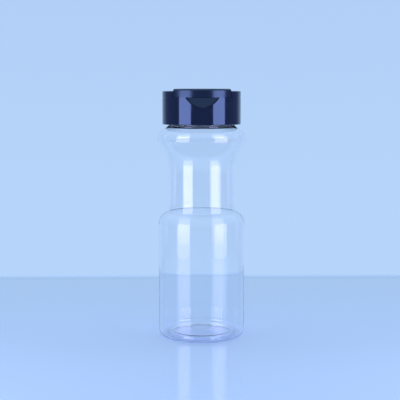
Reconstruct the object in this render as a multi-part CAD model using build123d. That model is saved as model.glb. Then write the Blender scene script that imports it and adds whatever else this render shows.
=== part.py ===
from build123d import *
import math
import os

# Spice shaker jar: a clear blow-moulded bottle with a screw closure that has two flip doors.
# Millimetres. The origin is the middle of the foot where it stands, and +Z is up.
# The sifting door opens at the front, which faces -Y, and the pouring door at the back.

# Bottle foot and body
body_radius = 27.5
body_height = 80.0
bottle_wall = 0.7
heel_radius = 6.0
foot_ring_width = 1.8
foot_step_height = 1.6
foot_step_width = 1.5
push_up_height = 3.2
gate_disc_radius = 4.0
push_up_fillet = 9.0

# Lower shoulder, waist and flare
lower_shoulder_angle = 11.2
lower_shoulder_flat = 0.5
waist_radius = 21.1
waist_height = 34.0
flare_angle = 35.0
flare_flat = 3.0

# Collar, upper shoulder and neck
collar_radius = 27.9
collar_crest = 1.58
collar_lower_fillet = 3.2
collar_upper_fillet = 5.1
upper_shoulder_angle = 35.7
neck_radius = 21.2
neck_wall = 1.8
neck_height = 15.0
neck_rim_chamfer = 0.4

# Seal between the neck and the closure
seal_thickness = 1.0
seal_overhang = 0.1

# Closure
thread_room = 2.5
skirt_wall = 1.3
skirt_above_neck_root = 0.9
skirt_foot_chamfer = 0.3
land_depth = 1.0
deck_thickness = 1.4
deck_step = 0.5
ledge_width = 1.6
shoulder_rise = 4.0
shoulder_panel = 1.4
shoulder_edge_fillet = 0.6
pocket_side_wall = 1.2
seam_groove_height = 0.35
seam_groove_depth = 0.25

# Bridge between the two doors
bridge_width = 8.0
bridge_wall = 1.3
bridge_end_wall = 5.0

# Thumb scoop under each door: its outline in the front view, its depth below the closure's surface
# in three places, and its flared side walls
scoop_width = 21.2
scoop_drop = 6.6
scoop_lip_depth = 1.3
scoop_side_depth = 0.75
scoop_toe_depth = 0.3
scoop_flare_angle = 45.0
scoop_backing = 1.2

# Doors
shoulder_width = 7.0
door_rise = 1.35
door_plate = 1.3
door_wall = 1.2
door_edge_fillet = 1.2
door_side_gap = 0.25
door_under_gap = 0.15
web_length = 1.0
web_thickness = 0.35
web_side_margin = 2.0

# Sifting holes in the front half of the deck, two rows
sift_hole_radius = 1.7
sift_pitch = 5.8
sift_row_pitch = 4.5
sift_rim_inset = 2.1
sift_near_count = 4
sift_far_count = 3
plug_entry = 1.0
pin_clearance = 0.25
pin_tip_radius = 0.8

# Pouring opening in the back half of the deck
pour_near_gap = 2.2
pour_rim_inset = 1.0
pour_side_inset = 4.4
pour_corner_fillet = 2.0
plug_rim_gap = 0.7
plug_rim_wall = 0.8


def corner_reach(radius, turn):
    """How far a fillet reaches along each side of a corner that turns by an angle in degrees."""
    return radius * math.tan(math.radians(turn / 2))


# Heights up the bottle, and the bends of the lower shoulder and the flare, which leave short flats
lower_shoulder_turn = 90 - lower_shoulder_angle
lower_shoulder_slant = (body_radius - waist_radius) / math.cos(math.radians(lower_shoulder_angle))
lower_shoulder_fillet = (lower_shoulder_slant - lower_shoulder_flat) / corner_reach(1, lower_shoulder_turn)
waist_bottom = body_height + lower_shoulder_slant * math.sin(math.radians(lower_shoulder_angle))
waist_top = waist_bottom + waist_height
collar_bottom = waist_top + (collar_radius - waist_radius) / math.tan(math.radians(flare_angle))
collar_lower_reach = corner_reach(collar_lower_fillet, flare_angle)
flare_slant = (collar_radius - waist_radius) / math.sin(math.radians(flare_angle))
waist_flare_fillet = (flare_slant - collar_lower_reach - flare_flat) / corner_reach(1, flare_angle)
collar_upper_reach = corner_reach(collar_upper_fillet, 90 - upper_shoulder_angle)
collar_top = collar_bottom + collar_lower_reach + collar_crest + collar_upper_reach
upper_shoulder_slope = math.tan(math.radians(upper_shoulder_angle))
neck_root = collar_top + (collar_radius - neck_radius) * upper_shoulder_slope
neck_top = neck_root + neck_height

# Heights up the closure
skirt_bottom = neck_root + skirt_above_neck_root
land_bottom = neck_top + seal_thickness
deck_bottom = land_bottom + land_depth
deck_top = deck_bottom + deck_thickness
seam = deck_top - deck_step
shoulder_top = seam + shoulder_rise
roof = shoulder_top - shoulder_panel
door_top = shoulder_top + door_rise
plate_bottom = door_top - door_plate

# Radii and widths
foot_ring_inner_radius = body_radius - heel_radius - foot_ring_width
neck_bore_radius = neck_radius - neck_wall
skirt_inner_radius = neck_radius + thread_room
closure_radius = skirt_inner_radius + skirt_wall
ledge_inner_radius = closure_radius - ledge_width
door_width = 2 * (closure_radius - shoulder_width)
pocket_half_width = door_width / 2 + door_side_gap
bridge_edge = bridge_width / 2
hinge_edge = bridge_edge + web_length
pour_far_radius = neck_bore_radius - pour_rim_inset
pour_half_width = pour_far_radius - pour_side_inset
pour_near_edge = hinge_edge + pour_near_gap
overrun = 2.0


def disc(radius, bottom, top):
    """A round solid on the axis between two heights."""
    return Pos(0, 0, bottom) * Cylinder(radius, top - bottom, align=(Align.CENTER, Align.CENTER, Align.MIN))


def ring(outer_radius, inner_radius, bottom, top):
    """A plain ring on the axis."""
    return disc(outer_radius, bottom, top) - disc(inner_radius, bottom - overrun, top + overrun)


def block(half_width, y_low, y_high, bottom, top):
    """A box centred on X between two places along Y and two heights."""
    centre = Pos(0, (y_low + y_high) / 2, (bottom + top) / 2)
    return centre * Box(2 * half_width, y_high - y_low, top - bottom)


def strip(half_width, near, bottom, top):
    """The front half's strip of a given half width, from `near` in front of the axis outwards."""
    return block(half_width, -closure_radius - overrun, -near, bottom, top)


def turned_to(side, shape):
    """The shape as made for the front, or turned half round for the back."""
    return shape if side == "front" else Rot(0, 0, 180) * shape


def bottle_section(neck_wall_radius, top):
    """Half section of the bottle's outer form, up to a given height, with a given neck radius."""
    root = neck_root + (neck_radius - neck_wall_radius) * upper_shoulder_slope
    step_radius = foot_ring_inner_radius - foot_step_width
    corners = [
        ((0, push_up_height), 0),
        ((gate_disc_radius, push_up_height), push_up_fillet),
        ((step_radius, foot_step_height), 0),
        ((foot_ring_inner_radius, 0), 0),
        ((body_radius, 0), heel_radius),
        ((body_radius, body_height), lower_shoulder_fillet),
        ((waist_radius, waist_bottom), 0),
        ((waist_radius, waist_top), waist_flare_fillet),
        ((collar_radius, collar_bottom), collar_lower_fillet),
        ((collar_radius, collar_top), collar_upper_fillet),
        ((neck_wall_radius, root), 0),
        ((neck_wall_radius, top), 0),
    ]
    points = [point for point, _ in corners]
    radii = [radius for _, radius in corners[1:-1]]
    outline = FilletPolyline(*points, radius=radii)
    lid = Polyline(points[-1], (0, top), points[0])
    return make_face(Plane.XZ * (outline + lid))


def bottle():
    """The bottle: an even wall inside the outer form, thicker at the neck, open at the mouth."""
    form = revolve(bottle_section(neck_radius, neck_top), Axis.Z)
    rim = form.edges().group_by(Axis.Z)[-1]
    form = chamfer(rim, neck_rim_chamfer)
    section = bottle_section(neck_bore_radius + bottle_wall, neck_top + overrun)
    whole_section = section + mirror(section, Plane.YZ)
    inner_section = offset(whole_section, -bottle_wall, kind=Kind.INTERSECTION)
    reach = collar_radius + overrun
    half_plane = Plane.XZ * Pos(reach / 2, neck_top / 2) * Rectangle(reach, 2 * neck_top)
    cavity = revolve(inner_section & half_plane, Axis.Z)
    bore = disc(neck_bore_radius, neck_top - overrun, neck_top + overrun)
    return form - cavity - bore


def mouth_seal():
    """The flat ring pressed between the neck's rim and the closure's land."""
    return ring(neck_radius + seal_overhang, neck_bore_radius - seal_overhang, neck_top, land_bottom)


def scoop_space(side, backing):
    """The hollow of the scoop under a door, or that hollow grown inwards by its backing wall.

    It is a flared hole, wide outside, that stops at the scoop's floor. The floor is a large round bar,
    upright but for a slight lean that makes the hollow deeper towards the seam. The flare's two radii
    are those at the outline's lowest point and at its two corners on the seam.
    """
    corner = math.sqrt(closure_radius ** 2 - (scoop_width / 2) ** 2)
    slope = math.tan(math.radians(scoop_flare_angle))
    drop_at_corner = scoop_drop - slope * (closure_radius - corner)
    above_seam = ((scoop_width / 2) ** 2 - drop_at_corner ** 2) / (2 * drop_at_corner)
    outer_radius = above_seam + scoop_drop + backing + slope * overrun
    flare_depth = closure_radius - corner + scoop_side_depth + scoop_backing + 2 * overrun
    flare = Cone(outer_radius - slope * flare_depth, outer_radius, flare_depth)
    flare = Pos(0, flare_depth / 2 - closure_radius - overrun, seam + above_seam) * Rot(90, 0, 0) * flare
    bulge = (closure_radius - scoop_lip_depth) - (corner - scoop_side_depth)
    floor_radius = ((scoop_width / 2) ** 2 + bulge ** 2) / (2 * bulge)
    lean = math.degrees(math.atan((scoop_lip_depth - scoop_toe_depth) / scoop_drop))
    floor = Cylinder(floor_radius - backing, 4 * scoop_drop + 2 * overrun)
    front = Pos(0, scoop_lip_depth - closure_radius, seam) * Rot(-lean, 0, 0)
    floor = front * Pos(0, floor_radius, 0) * floor
    return turned_to(side, flare - floor)


def sift_hole_places():
    """The middle of each sifting hole, as X and Y. The far row's end holes lie nearest to the rim."""
    far_row = math.sqrt((neck_bore_radius - sift_rim_inset) ** 2 - ((sift_far_count - 1) / 2 * sift_pitch) ** 2)
    rows = [(sift_near_count, sift_row_pitch - far_row), (sift_far_count, -far_row)]
    return [
        ((index - (count - 1) / 2) * sift_pitch, y)
        for count, y in rows
        for index in range(count)
    ]


def pour_outline(inset):
    """The pouring opening's outline, drawn in by a given distance: a segment with cut sides."""
    window = Pos(0, pour_near_edge + pour_far_radius / 2) * Rectangle(2 * pour_half_width, pour_far_radius)
    outline = Circle(pour_far_radius) & window
    outline = fillet(outline.vertices(), pour_corner_fillet)
    return offset(outline, -inset) if inset > 0 else outline


def door_pocket(side):
    """What is cut away over the deck for a door, with the ledge outside the deck for its lip."""
    over_deck = strip(pocket_half_width, bridge_edge, deck_top, door_top + overrun)
    over_ledge = strip(pocket_half_width, bridge_edge, seam, door_top + overrun)
    over_ledge = over_ledge & ring(closure_radius + overrun, ledge_inner_radius, seam, door_top + overrun)
    return turned_to(side, over_deck + over_ledge)


def closure_shell():
    """Skirt, shoulders and deck as one even shell, with the land ring that presses the seal."""
    form = disc(closure_radius, skirt_bottom, shoulder_top)
    form = fillet(form.edges().group_by(Axis.Z)[-1], shoulder_edge_fillet)
    hollow = disc(skirt_inner_radius, skirt_bottom - overrun, roof)
    hollow = hollow - ring(neck_radius, neck_bore_radius, land_bottom, roof + overrun)
    wall = pocket_half_width + pocket_side_wall
    hollow = hollow - block(wall, -closure_radius, closure_radius, deck_bottom, roof + overrun)
    return form - hollow


def bridge():
    """The bar between the doors, cored from below, flush with the doors' tops."""
    bar = block(door_width / 2, -bridge_edge, bridge_edge, deck_bottom, door_top)
    ends = bar.edges().filter_by(Axis.Y).group_by(Axis.Z)[-1]
    bar = fillet(ends, door_edge_fillet)
    core_edge = bridge_edge - bridge_wall
    core_top = door_top - bridge_wall
    core = block(door_width / 2 - bridge_end_wall, -core_edge, core_edge, deck_bottom - overrun, core_top)
    return bar, core


def closure_body():
    """The screw closure: skirt, shoulders, deck with its openings, bridge and thumb scoops."""
    body = closure_shell()
    inside_skirt = disc(closure_radius - skirt_wall / 2, seam - scoop_drop - overrun, deck_bottom)
    for side in ("front", "back"):
        body = body - door_pocket(side)
        body = body + (scoop_space(side, scoop_backing) & inside_skirt)
        body = body - (scoop_space(side, 0) & disc(closure_radius + overrun, skirt_bottom, seam))
    bar, core = bridge()
    body = body + bar - core
    for x, y in sift_hole_places():
        body = body - Pos(x, y, deck_top) * Cylinder(sift_hole_radius, 2 * deck_thickness + overrun)
    opening = Pos(0, 0, deck_bottom - overrun) * pour_outline(0)
    body = body - extrude(opening, deck_thickness + 2 * overrun)
    groove = ring(
        closure_radius + overrun, closure_radius - seam_groove_depth,
        seam - seam_groove_height / 2, seam + seam_groove_height / 2,
    )
    body = body - groove
    foot = body.edges().group_by(Axis.Z)[0].sort_by(SortBy.RADIUS)[-1]
    return chamfer(foot, skirt_foot_chamfer)


def door_tray():
    """A front door without its plugs: top plate, side and hinge walls, and the lip over the ledge."""
    lip_bottom = seam + door_under_gap
    tray_bottom = deck_top + door_under_gap
    form = disc(closure_radius, lip_bottom, door_top) & strip(door_width / 2, hinge_edge, lip_bottom, door_top)
    top_edges = form.faces().sort_by(Axis.Z)[-1].edges()
    hinge_side = top_edges.sort_by(Axis.Y)[-1]
    rounded = [edge for edge in top_edges if edge != hinge_side]
    form = fillet(rounded, door_edge_fillet)
    form = form - disc(ledge_inner_radius + door_under_gap, lip_bottom - overrun, tray_bottom)
    hollow = disc(closure_radius - door_wall, lip_bottom - overrun, plate_bottom)
    hollow = hollow & strip(door_width / 2 - door_wall, hinge_edge + door_wall, lip_bottom - overrun, plate_bottom)
    return form - hollow


def sift_door():
    """The front door, with a tapered pin for each sifting hole."""
    door = door_tray()
    pin_radius = sift_hole_radius - pin_clearance
    tip = deck_top - plug_entry
    for x, y in sift_hole_places():
        shank = Pos(x, y, deck_top) * Cylinder(
            pin_radius, plate_bottom + overrun / 4 - deck_top, align=(Align.CENTER, Align.CENTER, Align.MIN)
        )
        point = Pos(x, y, tip) * Cone(
            pin_tip_radius, pin_radius, plug_entry, align=(Align.CENTER, Align.CENTER, Align.MIN)
        )
        door = door + shank + point
    return door


def pour_door():
    """The back door, with a rim that plugs the pouring opening."""
    tip = Pos(0, 0, deck_top - plug_entry)
    rim = pour_outline(plug_rim_gap) - pour_outline(plug_rim_gap + plug_rim_wall)
    height = plate_bottom + overrun / 4 - deck_top + plug_entry
    return turned_to("back", door_tray()) + extrude(tip * rim, height)


def hinge_web(side):
    """The thin film that joins a door to the bridge and bends as it opens."""
    half_width = door_width / 2 - web_side_margin
    web = block(half_width, -hinge_edge, -bridge_edge, door_top - web_thickness, door_top)
    return turned_to(side, web)


def main():
    """Writes one STEP file for each piece."""
    os.makedirs("parts", exist_ok=True)
    pieces = {
        "bottle": bottle(),
        "mouth_seal": mouth_seal(),
        "closure_body": closure_body(),
        "sift_door": sift_door(),
        "pour_door": pour_door(),
        "sift_hinge_web": hinge_web("front"),
        "pour_hinge_web": hinge_web("back"),
    }
    for name, shape in pieces.items():
        export_step(shape, f"parts/{name}.step")


main()
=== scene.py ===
"""Looks of a spice shaker jar: a clear waisted bottle under a black closure with two flip doors.

Everything is in metres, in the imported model's own frame: +Z is up, the foot stands at height 0 and
the front faces -Y.
"""

import logging
import math
from dataclasses import dataclass, field
from enum import Enum

import bmesh
import bpy
from mathutils import Matrix, Vector


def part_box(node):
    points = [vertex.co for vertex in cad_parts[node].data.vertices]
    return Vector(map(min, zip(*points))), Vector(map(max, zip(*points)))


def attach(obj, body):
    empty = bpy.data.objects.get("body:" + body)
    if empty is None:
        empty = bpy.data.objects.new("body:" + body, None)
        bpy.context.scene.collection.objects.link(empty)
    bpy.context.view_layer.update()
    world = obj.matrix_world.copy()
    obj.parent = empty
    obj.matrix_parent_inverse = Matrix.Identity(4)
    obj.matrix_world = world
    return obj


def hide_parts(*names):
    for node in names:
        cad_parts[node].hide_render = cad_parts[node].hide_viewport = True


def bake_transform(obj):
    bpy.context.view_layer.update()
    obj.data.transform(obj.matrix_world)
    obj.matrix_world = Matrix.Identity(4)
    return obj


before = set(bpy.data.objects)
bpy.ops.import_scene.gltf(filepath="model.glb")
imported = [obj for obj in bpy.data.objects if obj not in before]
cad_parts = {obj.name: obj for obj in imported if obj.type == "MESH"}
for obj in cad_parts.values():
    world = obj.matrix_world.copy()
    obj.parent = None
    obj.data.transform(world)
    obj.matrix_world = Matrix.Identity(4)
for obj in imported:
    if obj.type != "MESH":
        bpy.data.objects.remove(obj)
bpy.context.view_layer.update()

MM = 0.001
MERGE_DISTANCE = 0.001 * MM
SHARP_TURN = math.radians(35.0)

log = logging.getLogger("spice_jar")
logging.basicConfig(level=logging.INFO, format="%(name)s: %(message)s")

Colour = tuple[float, float, float]
Range = tuple[float, float]
Value = bpy.types.NodeSocket | float


class Slot(Enum):
    """The record's material slot names, for clear and for black plastic."""

    CLEAR = "clear_plastic"
    BLACK = "black_plastic"


class Body(Enum):
    """The moving bodies that new pieces ride on."""

    BOTTLE = "bottle"
    CLOSURE = "closure"
    SIFT_DOOR = "sift_door"
    POUR_DOOR = "pour_door"


class Side(Enum):
    """The closure's two sides, each with its door's hinge web and body."""

    FRONT = ("sift_hinge_web", Body.SIFT_DOOR)
    BACK = ("pour_hinge_web", Body.POUR_DOOR)


def report(piece: bpy.types.Object) -> None:
    """Logs a piece with its number of faces."""
    log.info("%s: %d faces", piece.name, len(piece.data.polygons))


def finished_piece(name: str, form: bmesh.types.BMesh, material: bpy.types.Material) -> bpy.types.Object:
    """Turns a bmesh into a smooth-shaded object with its material.

    Args:
        name: The piece's name.
        form: The finished bmesh, which is freed.
        material: The piece's material.

    Returns:
        The new object, linked to the scene.
    """
    mesh = bpy.data.meshes.new(name)
    form.to_mesh(mesh)
    form.free()
    mesh.materials.append(material)
    mesh.shade_smooth()
    mesh.set_sharp_from_angle(angle=SHARP_TURN)
    piece = bpy.data.objects.new(name, mesh)
    bpy.context.scene.collection.objects.link(piece)
    return piece


def outward_normals(form: bmesh.types.BMesh) -> None:
    """Points every face of a closed form outwards."""
    bmesh.ops.recalc_face_normals(form, faces=form.faces[:])


@dataclass(frozen=True)
class Corner:
    """One corner of a half outline: its place, its rounding and the wall's thickness there."""

    radius: float
    height: float
    fillet: float = 0.0
    wall: float = 0.0

    def point(self) -> Vector:
        """The corner as a point in the outline's plane."""
        return Vector((self.radius, self.height))


def line_crossing(near: tuple[Vector, Vector], far: tuple[Vector, Vector]) -> Vector:
    """Finds where the lines through two pairs of points cross.

    Args:
        near: Two points on the first line.
        far: Two points on the second line.

    Returns:
        The crossing, or the second line's start where the lines run the same way.
    """
    same_way = 1e-6
    along, onward = near[1] - near[0], far[1] - far[0]
    across = along.cross(onward)
    if abs(across) < same_way * along.length * onward.length:
        return far[0]
    return near[0] + along * ((far[0] - near[0]).cross(onward) / across)


def inset_corners(corners: list[Corner]) -> list[Corner]:
    """Moves an outline's edges inwards, to its left, by the wall's thickness at its corners.

    Args:
        corners: The outer outline's corners, in order.

    Returns:
        The inner outline's corners, with roundings that keep the wall even round the bends.
    """
    lines = []
    for near, far in zip(corners, corners[1:]):
        along = (far.point() - near.point()).normalized()
        left = Vector((-along.y, along.x))
        lines.append((near.point() + left * near.wall, far.point() + left * far.wall))
    inner = [Corner(*lines[0][0])]
    for corner, before, after in zip(corners[1:], lines, lines[1:]):
        turn = (before[1] - before[0]).cross(after[1] - after[0])
        fillet = corner.fillet - math.copysign(corner.wall, turn) if corner.fillet > 0 else 0.0
        inner.append(Corner(*line_crossing(before, after), max(fillet, 0.0)))
    inner.append(Corner(*lines[-1][1]))
    return inner


def rounded_outline(corners: list[Corner], arc_step: float, longest: float) -> list[Vector]:
    """Follows an outline, rounding its corners by tangent arcs.

    Args:
        corners: The outline's corners, in order.
        arc_step: The angle between points on an arc.
        longest: The longest stretch left without a point.

    Returns:
        Points in the outline's plane.
    """
    path = [corners[0].point()]
    for index in range(1, len(corners) - 1):
        here = corners[index].point()
        back = (corners[index - 1].point() - here).normalized()
        ahead = (corners[index + 1].point() - here).normalized()
        fillet = corners[index].fillet
        turn = math.pi - back.angle(ahead)
        if fillet <= 0:
            path.append(here)
            continue
        reach = fillet * math.tan(turn / 2)
        centre = here + (back + ahead).normalized() * fillet / math.cos(turn / 2)
        start = here + back * reach - centre
        way = math.copysign(1, back.x * ahead.y - back.y * ahead.x)
        steps = max(2, math.ceil(turn / arc_step))
        for step in range(steps + 1):
            path.append(centre + Matrix.Rotation(-way * turn * step / steps, 2) @ start)
    path.append(corners[-1].point())
    even = [path[0]]
    for near, far in zip(path, path[1:]):
        pieces = max(1, math.ceil((far - near).length / longest))
        even += [near.lerp(far, (index + 1) / pieces) for index in range(pieces)]
    return even


class Graph:
    """A node tree with short calls for adding and joining nodes."""

    def __init__(self, tree: bpy.types.NodeTree) -> None:
        """Starts from an existing tree, emptied."""
        self.tree = tree
        tree.nodes.clear()

    def add(self, kind: str, values: dict | None = None, **settings: object) -> bpy.types.Node:
        """Adds a node.

        Args:
            kind: The node's type, without the leading ShaderNode.
            values: Input values by socket name. A socket as a value is linked.
            **settings: Properties of the node itself.

        Returns:
            The new node.
        """
        name = kind if kind.startswith("NodeGroup") else "ShaderNode" + kind
        node = self.tree.nodes.new(name)
        for key, value in settings.items():
            setattr(node, key, value)
        for key, value in (values or {}).items():
            if isinstance(value, bpy.types.NodeSocket):
                self.tree.links.new(value, node.inputs[key])
            else:
                node.inputs[key].default_value = value
        return node

    def maths(self, operation: str, first: Value, second: Value) -> bpy.types.NodeSocket:
        """Adds a Math node and returns its result."""
        return self.add("Math", {0: first, 1: second}, operation=operation).outputs[0]

    def spread(self, value: Value, source: Range, target: Range = (0.0, 1.0)) -> bpy.types.NodeSocket:
        """Maps a value from one range to another, clamped, and returns the result."""
        ends = {"From Min": source[0], "From Max": source[1], "To Min": target[0], "To Max": target[1]}
        return self.add("MapRange", {"Value": value, **ends}).outputs["Result"]

    def blend(self, share: Value, first: Value | Colour, second: Value | Colour) -> bpy.types.NodeSocket:
        """Mixes two colours by a share, and returns the result."""
        ends = {name: (*colour, 1) if isinstance(colour, tuple) else colour
                for name, colour in (("Color1", first), ("Color2", second))}
        return self.add("MixRGB", {"Fac": share, **ends}).outputs[0]


def handling_marks_group() -> bpy.types.NodeTree:
    """Builds the shared effect of moulded grain and faint smudges, once.

    Returns:
        A node group that gives a roughness and a height for a bump.
    """
    name = "HandlingMarks"
    if name in bpy.data.node_groups:
        return bpy.data.node_groups[name]
    tree = bpy.data.node_groups.new(name, "ShaderNodeTree")
    defaults = {"Roughness": 0.2, "Smudge": 0.05, "Smudge Scale": 60.0, "Grain Scale": 2500.0}
    for socket, default in defaults.items():
        made = tree.interface.new_socket(socket, in_out="INPUT", socket_type="NodeSocketFloat")
        made.default_value = default
    for socket in ("Roughness", "Height"):
        tree.interface.new_socket(socket, in_out="OUTPUT", socket_type="NodeSocketFloat")
    smudged_part = (0.45, 0.7)
    graph = Graph(tree)
    inputs = graph.add("NodeGroupInput").outputs
    place = graph.add("TexCoord").outputs["Object"]
    smudges = graph.add("TexNoise", {"Vector": place, "Scale": inputs["Smudge Scale"], "Detail": 4.0,
                                     "Roughness": 0.6})
    grain = graph.add("TexNoise", {"Vector": place, "Scale": inputs["Grain Scale"], "Detail": 2.0})
    extra = graph.maths("MULTIPLY", graph.spread(smudges.outputs["Fac"], smudged_part), inputs["Smudge"])
    roughness = graph.maths("ADD", extra, inputs["Roughness"])
    graph.add("NodeGroupOutput", {"Roughness": roughness, "Height": grain.outputs["Fac"]})
    return tree


def new_material(name: str) -> tuple[bpy.types.Material, Graph]:
    """Makes an empty node material.

    Args:
        name: The material's name.

    Returns:
        The material and the graph to fill it.
    """
    material = bpy.data.materials.new(name)
    material.use_nodes = True
    return material, Graph(material.node_tree)


@dataclass(frozen=True)
class ClearPlastic:
    """Polished clear polyester, as blown."""

    tint: Colour = (0.975, 0.988, 1.0)
    refraction: float = 1.46
    roughness: float = 0.012
    smudge: float = 0.03
    shadow_clearness: float = 0.97

    def material(self) -> bpy.types.Material:
        """Builds the material, with faint smudges in its gloss.

        Returns:
            The material. Lamps shine through it, so that its shadow stays pale.
        """
        material, graph = new_material("clear_polyester")
        marks = graph.add("Group", node_tree=handling_marks_group())
        marks.inputs["Roughness"].default_value = self.roughness
        marks.inputs["Smudge"].default_value = self.smudge
        plastic = graph.add("BsdfPrincipled", {
            "Base Color": (*self.tint, 1), "IOR": self.refraction, "Transmission Weight": 1.0,
            "Roughness": marks.outputs["Roughness"]})
        clear = graph.add("BsdfTransparent", {"Color": (*self.tint, 1)})
        path = graph.add("LightPath")
        share = graph.maths("MULTIPLY", path.outputs["Is Shadow Ray"], self.shadow_clearness)
        mixed = graph.add("MixShader", {0: share, 1: plastic.outputs[0], 2: clear.outputs[0]})
        graph.add("OutputMaterial", {"Surface": mixed.outputs[0]})
        return material


@dataclass(frozen=True)
class BlackPlastic:
    """Glossy black moulded polypropylene, with a fine grain and faint smudges."""

    name: str = "black_polypropylene"
    colour: Colour = (0.003, 0.003, 0.012)
    gloss_colour: Colour = (0.48, 0.79, 1.0)
    gloss: float = 0.86
    refraction: float = 1.56
    roughness: float = 0.09
    smudge: float = 0.06
    grain_height: float = 0.006 * MM
    grain_strength: float = 0.25

    def material(self) -> bpy.types.Material:
        """Builds the material.

        Returns:
            The material.
        """
        material, graph = new_material(self.name)
        marks = graph.add("Group", node_tree=handling_marks_group())
        marks.inputs["Roughness"].default_value = self.roughness
        marks.inputs["Smudge"].default_value = self.smudge
        bump = graph.add("Bump", {"Height": marks.outputs["Height"], "Strength": self.grain_strength,
                                  "Distance": self.grain_height})
        plastic = graph.add("BsdfPrincipled", {
            "Base Color": (*self.colour, 1), "IOR": self.refraction, "Specular IOR Level": self.gloss,
            "Specular Tint": (*self.gloss_colour, 1), "Roughness": marks.outputs["Roughness"],
            "Normal": bump.outputs["Normal"]})
        graph.add("OutputMaterial", {"Surface": plastic.outputs[0]})
        return material


@dataclass(frozen=True)
class SealFoam:
    """Off-white foamed liner with fine closed cells, with painted shade in each cell's sunken middle."""

    colour: Colour = (0.80, 0.80, 0.76)
    pit_painted_shade_colour: Colour = (0.66, 0.66, 0.62)
    roughness: float = 0.75
    cell_scale: float = 3500.0
    cell_depth: float = 0.03 * MM
    cell_strength: float = 0.5
    cell_wall: Range = (0.0, 0.7)

    def material(self) -> bpy.types.Material:
        """Builds the material.

        Returns:
            The material.
        """
        material, graph = new_material("seal_foam")
        place = graph.add("TexCoord").outputs["Object"]
        cells = graph.add("TexVoronoi", {"Vector": place, "Scale": self.cell_scale})
        shade = graph.spread(cells.outputs["Distance"], self.cell_wall)
        # Painted shade: each cell's sunken middle, where the bump is lowest, is coloured darker.
        colour = graph.blend(shade, self.pit_painted_shade_colour, self.colour)
        bump = graph.add("Bump", {"Height": shade, "Strength": self.cell_strength,
                                  "Distance": self.cell_depth})
        foam = graph.add("BsdfPrincipled", {"Base Color": colour, "Roughness": self.roughness,
                                            "Normal": bump.outputs["Normal"]})
        graph.add("OutputMaterial", {"Surface": foam.outputs[0]})
        return material


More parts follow.
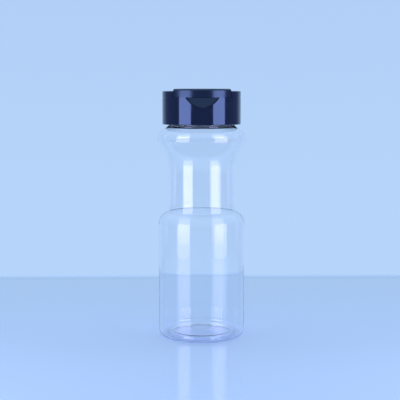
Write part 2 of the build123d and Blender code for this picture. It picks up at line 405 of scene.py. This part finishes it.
@dataclass
class Bottle:
    """The blown bottle: its sizes, its shell and the thread bead on its neck."""

    finish: bpy.types.Material

    push_up: float = 4.2 * MM
    gate_radius: float = 7.0 * MM
    gate_fillet: float = 9.0 * MM
    foot_step: Vector = field(default_factory=lambda: Vector((0.8, 2.5)) * MM)
    foot_step_fillet: float = 1.0 * MM
    foot_ring_inner: float = 20.4 * MM
    foot_ring_fillet: float = 0.8 * MM
    foot_wall: float = 0.7 * MM
    heel_fillet: float = 4.0 * MM

    body_radius: float = 27.5 * MM
    body_height: float = 78.4 * MM
    body_wall: float = 0.3 * MM
    body_wall_change: float = 46.0 * MM
    lower_shoulder_angle: float = math.radians(17.0)
    lower_shoulder_flat: float = 0.5 * MM

    junction_fillet: float = 0.25 * MM
    junction_wall: float = 0.12 * MM
    waist_radius: float = 21.1 * MM
    waist_height: float = 34.87 * MM
    waist_wall: float = 0.3 * MM
    flare_angle: float = math.radians(35.0)
    flare_flat: float = 3.0 * MM
    collar_crest: float = 2.55 * MM
    collar_lower_fillet: float = 3.2 * MM
    collar_upper_fillet: float = 3.3 * MM
    upper_shoulder_angle: float = math.radians(35.7)
    upper_shoulder_wall: float = 0.24 * MM

    root_reach: float = 0.9 * MM
    root_fillet: float = 0.9 * MM
    root_wall: float = 0.65 * MM
    neck_wall: float = 1.8 * MM
    seal_overhang: float = 0.1 * MM
    rim_round: float = 0.4 * MM

    thread_pitch: float = 4.23 * MM
    thread_turns: float = 1.4
    thread_depth: float = 1.1 * MM
    thread_sunk: float = 0.2 * MM
    thread_foot: Range = (-1.3 * MM, 1.0 * MM)
    thread_crest: Range = (-0.45 * MM, 0.45 * MM)
    thread_below_rim: float = 3.0 * MM
    thread_steps: int = 72

    around: int = 192
    arc_step: float = math.radians(6)
    longest_step: float = 4 * MM

    def __post_init__(self) -> None:
        """Takes the collar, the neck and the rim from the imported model."""
        _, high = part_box("bottle")
        seal_low, seal_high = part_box("mouth_seal")
        self.collar_radius = high.x
        self.rim_height = seal_low.z
        self.neck_radius = seal_high.x - self.seal_overhang

    def corners(self, neck_radius: float) -> list[Corner]:
        """Lays out the outer half outline, from the middle of the foot to the rim.

        Args:
            neck_radius: The radius of the neck's straight wall.

        Returns:
            The outline's corners, with the wall's thickness at each.
        """
        slant = (self.body_radius - self.waist_radius) / math.cos(self.lower_shoulder_angle)
        half_turn = (math.pi / 2 - self.lower_shoulder_angle) / 2
        shoulder_fillet = (slant - self.lower_shoulder_flat) / math.tan(half_turn)
        waist_bottom = self.body_height + slant * math.sin(self.lower_shoulder_angle)
        waist_top = waist_bottom + self.waist_height
        collar_bottom = waist_top + (self.collar_radius - self.waist_radius) / math.tan(self.flare_angle)
        lower_reach = self.collar_lower_fillet * math.tan(self.flare_angle / 2)
        flare_slant = (self.collar_radius - self.waist_radius) / math.sin(self.flare_angle)
        flare_fillet = (flare_slant - lower_reach - self.flare_flat) / math.tan(self.flare_angle / 2)
        upper_reach = self.collar_upper_fillet * math.tan((math.pi / 2 - self.upper_shoulder_angle) / 2)
        collar_top = collar_bottom + lower_reach + self.collar_crest + upper_reach
        root = collar_top + (self.collar_radius - neck_radius) * math.tan(self.upper_shoulder_angle)
        root_start = root - self.root_reach * math.tan(self.upper_shoulder_angle)
        step_radius = self.foot_ring_inner - self.foot_step.x
        return [
            Corner(0, self.push_up, 0, self.foot_wall),
            Corner(self.gate_radius, self.push_up, self.gate_fillet, self.foot_wall),
            Corner(step_radius, self.foot_step.y, self.foot_step_fillet, self.foot_wall),
            Corner(self.foot_ring_inner, 0, self.foot_ring_fillet, self.foot_wall),
            Corner(self.body_radius, 0, self.heel_fillet, self.foot_wall),
            Corner(self.body_radius, self.body_wall_change, 0, self.body_wall),
            Corner(self.body_radius, self.body_height, shoulder_fillet, self.body_wall),
            Corner(self.waist_radius, waist_bottom, self.junction_fillet, self.junction_wall),
            Corner(self.waist_radius, waist_top, flare_fillet, self.waist_wall),
            Corner(self.collar_radius, collar_bottom, self.collar_lower_fillet, self.waist_wall),
            Corner(self.collar_radius, collar_top, self.collar_upper_fillet, self.upper_shoulder_wall),
            Corner(neck_radius + self.root_reach, root_start, 0, self.upper_shoulder_wall),
            Corner(neck_radius, root, self.root_fillet, self.root_wall),
            Corner(neck_radius, self.rim_height, self.rim_round, self.root_wall),
        ]

    def build_shell(self) -> bpy.types.Object:
        """Spins the wall's closed section into the bottle.

        Returns:
            The bottle's shell.
        """
        bore = self.neck_radius - self.neck_wall
        outer = self.corners(self.neck_radius)
        inner = inset_corners(self.corners(bore + self.root_wall))
        inner[-1] = Corner(bore, self.rim_height, self.rim_round)
        points = rounded_outline(outer + inner[::-1], self.arc_step, self.longest_step)
        form = bmesh.new()
        verts = [form.verts.new((point.x, 0, point.y)) for point in points]
        edges = [form.edges.new(pair) for pair in zip(verts, verts[1:])]
        bmesh.ops.spin(form, geom=verts + edges, axis=(0, 0, 1), cent=(0, 0, 0), dvec=(0, 0, 0),
                       angle=math.tau, steps=self.around, use_merge=True, use_duplicate=False)
        bmesh.ops.remove_doubles(form, verts=form.verts[:], dist=MERGE_DISTANCE)
        outward_normals(form)
        shell = finished_piece("bottle_shell", form, self.finish)
        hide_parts("bottle")
        return shell

    def build_thread(self) -> bpy.types.Object:
        """Winds the neck's thread bead, whose foot is sunk a little into the wall.

        Returns:
            The thread bead.
        """
        foot = self.neck_radius - self.thread_sunk
        crest = self.neck_radius + self.thread_depth
        low = self.rim_height - self.thread_below_rim - self.thread_turns * self.thread_pitch
        section = [(foot, self.thread_foot[0]), (crest, self.thread_crest[0]),
                   (crest, self.thread_crest[1]), (foot, self.thread_foot[1])]
        form = bmesh.new()
        face = form.faces.new([form.verts.new((radius, 0, low + offset)) for radius, offset in section])
        bmesh.ops.spin(form, geom=[face], axis=(0, 0, 1), cent=(0, 0, 0),
                       dvec=(0, 0, self.thread_pitch / self.thread_steps),
                       angle=math.tau * self.thread_turns, steps=round(self.thread_turns * self.thread_steps),
                       use_merge=False, use_duplicate=False)
        outward_normals(form)
        return finished_piece("neck_thread", form, self.finish)

    def build(self) -> None:
        """Makes the bottle's pieces and lets them ride on its body."""
        for piece in (self.build_shell(), self.build_thread()):
            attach(piece, Body.BOTTLE.value)
            report(piece)


@dataclass
class Closure:
    """The screw closure: its moulded body, two doors and the webs that hinge them."""

    finish: bpy.types.Material
    door_finish: bpy.types.Material
    web_steps: int = 10

    def dress_nodes(self) -> None:
        """Gives the solid pieces their finish."""
        for node in ("closure_body", "sift_door", "pour_door"):
            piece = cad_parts[node]
            piece.material_slots[0].material = self.finish if node == "closure_body" else self.door_finish
            report(piece)

    def build_web(self, side: Side) -> bpy.types.Object:
        """Makes one living-hinge web, as a box cut into thin strips.

        Args:
            side: The door's side of the closure.

        Returns:
            The web.
        """
        node, body = side.value
        low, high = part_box(node)
        form = bmesh.new()
        bmesh.ops.create_cube(form, size=1.0)
        bmesh.ops.scale(form, vec=high - low, verts=form.verts[:])
        bmesh.ops.translate(form, vec=(low + high) / 2, verts=form.verts[:])
        half_way = (high.y - low.y) / 2
        across = [edge for edge in form.edges if abs(edge.verts[0].co.y - edge.verts[1].co.y) > half_way]
        bmesh.ops.subdivide_edges(form, edges=across, cuts=self.web_steps, use_grid_fill=True)
        web = finished_piece(node.replace("hinge_", ""), form, self.finish)
        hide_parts(node)
        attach(web, Body.CLOSURE.value)
        web.parent = None
        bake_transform(web)
        return web

    def build(self) -> None:
        """Makes and dresses the closure's pieces."""
        self.dress_nodes()
        for side in Side:
            report(self.build_web(side))


@dataclass
class MouthSeal:
    """The foamed ring between the neck's rim and the closure."""

    finish: bpy.types.Material

    def build(self) -> None:
        """Dresses the seal."""
        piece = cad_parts["mouth_seal"]
        piece.material_slots[0].material = self.finish
        report(piece)


@dataclass
class Studio:
    """The table, the room's light and the camera."""

    wall_colour: Colour = (0.470, 0.660, 0.955)
    wall_top_colour: Colour = (0.445, 0.624, 0.931)
    wall_rise: Range = (-0.10, 0.10)
    wall_ahead: Range = (0.55, 0.85)
    room_colour: Colour = (0.16, 0.20, 0.46)
    ceiling_colour: Colour = (0.70, 0.85, 1.15)
    ceiling_rise: Range = (0.08, 0.55)
    ambient_colour: Colour = (0.72, 0.85, 1.0)
    ambient: float = 1.1

    table_colour: Colour = (0.402, 0.54, 0.69)
    table_roughness: Range = (0.07, 0.11)
    table_patch_scale: float = 9.0
    table_patches: Range = (0.3, 0.7)
    table_far_edge: float = 0.2165
    table_reach: float = 1.6
    # Painted shade, then a painted highlight, in a thin band along the table's far edge.
    edge_painted_highlight_colour: Colour = (0.52, 0.69, 0.87)
    edge_painted_shade_colour: Colour = (0.36, 0.49, 0.65)
    edge_painted_shade_place: float = 0.3
    edge_depth: float = 0.0195

    lamp_colour: Colour = (0.59, 0.53, 1.0)
    lamp_radiance: float = 4.8
    lamp_foot_share: float = 0.5
    lamp_fade_in: float = 0.03
    lamp_fade_out: float = 0.18
    lamp_distance: float = 0.35
    lamp_bearing: float = math.radians(49.6)
    lamp_width: float = 0.226
    lamp_height: float = 0.24

    focal_length: float = 90.0
    nearest_seen: float = 0.01
    eye_distance: float = 0.639
    eye_height: float = 0.1524
    eye_bearing: float = math.radians(-1.2)
    eye_pitch: float = math.radians(5.81)
    eye_aside: float = -1.0 * MM

    bounces: int = 24
    glossy_bounces: int = 12
    clear_bounces: int = 20

    def table_material(self) -> bpy.types.Material:
        """Builds the table's finish, with painted shade and then a painted highlight in a thin band along its
        flat far edge, standing in for a rounded edge that catches less light and then more.

        Returns:
            The material.
        """
        material, graph = new_material("table_top")
        place = graph.add("TexCoord").outputs["Object"]
        noise = graph.add("TexNoise", {"Vector": place, "Scale": self.table_patch_scale, "Detail": 3.0})
        roughness = graph.spread(noise.outputs["Fac"], self.table_patches, self.table_roughness)
        ahead = graph.add("SeparateXYZ", {0: place}).outputs["Y"]
        edge = graph.spread(ahead, (self.table_far_edge - self.edge_depth, self.table_far_edge))
        # Painted shade and painted highlight: the colour dips darker near the far edge, then turns lighter at
        # the very edge.
        shade = graph.add("ValToRGB", {"Fac": edge})
        stops = shade.color_ramp.elements
        stops[0].color = (*self.table_colour, 1)
        stops[1].color = (*self.edge_painted_highlight_colour, 1)
        stops.new(self.edge_painted_shade_place).color = (*self.edge_painted_shade_colour, 1)
        top = graph.add("BsdfPrincipled", {"Base Color": shade.outputs[0], "Roughness": roughness})
        graph.add("OutputMaterial", {"Surface": top.outputs[0]})
        return material

    def build_table(self) -> None:
        """Lays the glossy pale table, which ends behind the jar."""
        form = bmesh.new()
        bmesh.ops.create_grid(form, x_segments=1, y_segments=1, size=1.0)
        depth = self.table_reach + self.table_far_edge
        bmesh.ops.scale(form, vec=(self.table_reach, depth / 2, 1), verts=form.verts[:])
        bmesh.ops.translate(form, vec=(0, self.table_far_edge - depth / 2, 0), verts=form.verts[:])
        mesh = bpy.data.meshes.new("table")
        form.to_mesh(mesh)
        form.free()
        mesh.materials.append(self.table_material())
        table = bpy.data.objects.new("table", mesh)
        bpy.context.scene.collection.objects.link(table)

    def build_lamps(self) -> None:
        """Stands a tall soft lamp on each side in front of the jar, dimmer at its foot and top."""
        for side in (-1, 1):
            lamp = bpy.data.lights.new("soft_lamp", "AREA")
            lamp.shape = "RECTANGLE"
            lamp.size = self.lamp_width
            lamp.size_y = self.lamp_height
            lamp.color = self.lamp_colour
            lamp.energy = self.lamp_radiance * math.pi * self.lamp_width * self.lamp_height
            lamp.use_nodes = True
            graph = Graph(lamp.node_tree)
            place = graph.add("NewGeometry").outputs["Position"]
            height = graph.add("SeparateXYZ", {0: place}).outputs["Z"]
            low_glow = graph.spread(height, (0.0, self.lamp_fade_in), (self.lamp_foot_share, 1.0))
            top_glow = graph.spread(height, (self.lamp_fade_out, self.lamp_height), (1.0, 0.0))
            glow = graph.add("Emission", {"Strength": graph.maths("MULTIPLY", low_glow, top_glow)})
            graph.add("OutputLight", {"Surface": glow.outputs[0]})
            holder = bpy.data.objects.new("soft_lamp", lamp)
            bearing = side * self.lamp_bearing
            aim = Vector((math.sin(bearing), -math.cos(bearing), 0))
            holder.location = aim * self.lamp_distance + Vector((0, 0, self.lamp_height / 2))
            holder.rotation_euler = aim.to_track_quat("Z", "Y").to_euler()
            holder.visible_camera = False
            bpy.context.scene.collection.objects.link(holder)

    def build_world(self) -> None:
        """Fills the room with soft light, and shows the pale wall to the eye, to gloss and through glass."""
        world = bpy.data.worlds.new("room")
        world.use_nodes = True
        bpy.context.scene.world = world
        graph = Graph(world.node_tree)
        direction = graph.add("TexCoord").outputs["Generated"]
        parts = graph.add("SeparateXYZ", {0: direction}).outputs
        ahead, up = parts["Y"], parts["Z"]
        wall = graph.blend(graph.spread(up, self.wall_rise), self.wall_colour, self.wall_top_colour)
        room = graph.blend(graph.spread(up, self.ceiling_rise), self.room_colour, self.ceiling_colour)
        gloss = graph.blend(graph.spread(ahead, self.wall_ahead), room, wall)
        ambient = tuple(self.ambient * channel for channel in self.ambient_colour)
        path = graph.add("LightPath").outputs
        soft = graph.blend(path["Is Glossy Ray"], ambient, gloss)
        seen = graph.maths("MAXIMUM", path["Is Camera Ray"], path["Is Transmission Ray"])
        backdrop = graph.add("Background", {"Color": graph.blend(seen, soft, wall)})
        graph.add("OutputWorld", {"Surface": backdrop.outputs[0]})

    def place_camera(self) -> None:
        """Puts the eye a little below the closure's top, looking a little down."""
        camera = bpy.data.cameras.new("eye")
        camera.lens = self.focal_length
        camera.clip_start = self.nearest_seen
        holder = bpy.data.objects.new("eye", camera)
        turn = Matrix.Rotation(self.eye_bearing, 4, "Z")
        holder.location = turn @ Vector((self.eye_aside, -self.eye_distance, self.eye_height))
        holder.rotation_euler = (math.pi / 2 - self.eye_pitch, 0, self.eye_bearing)
        bpy.context.scene.collection.objects.link(holder)
        bpy.context.scene.camera = holder

    def build(self) -> None:
        """Sets up everything round the jar."""
        self.build_table()
        self.build_lamps()
        self.build_world()
        self.place_camera()
        bpy.context.scene.view_settings.view_transform = "Standard"
        bpy.context.scene.cycles.max_bounces = self.bounces
        bpy.context.scene.cycles.glossy_bounces = self.glossy_bounces
        bpy.context.scene.cycles.transmission_bounces = self.clear_bounces


def main() -> None:
    """Builds the jar's pieces in order, then what stands round it."""
    door_plastic = BlackPlastic("satin_black_polypropylene", roughness=0.20, gloss=0.8)
    Bottle(ClearPlastic().material()).build()
    Closure(BlackPlastic().material(), door_plastic.material()).build()
    MouthSeal(SealFoam().material()).build()
    Studio().build()


if __name__ == "__main__":
    main()
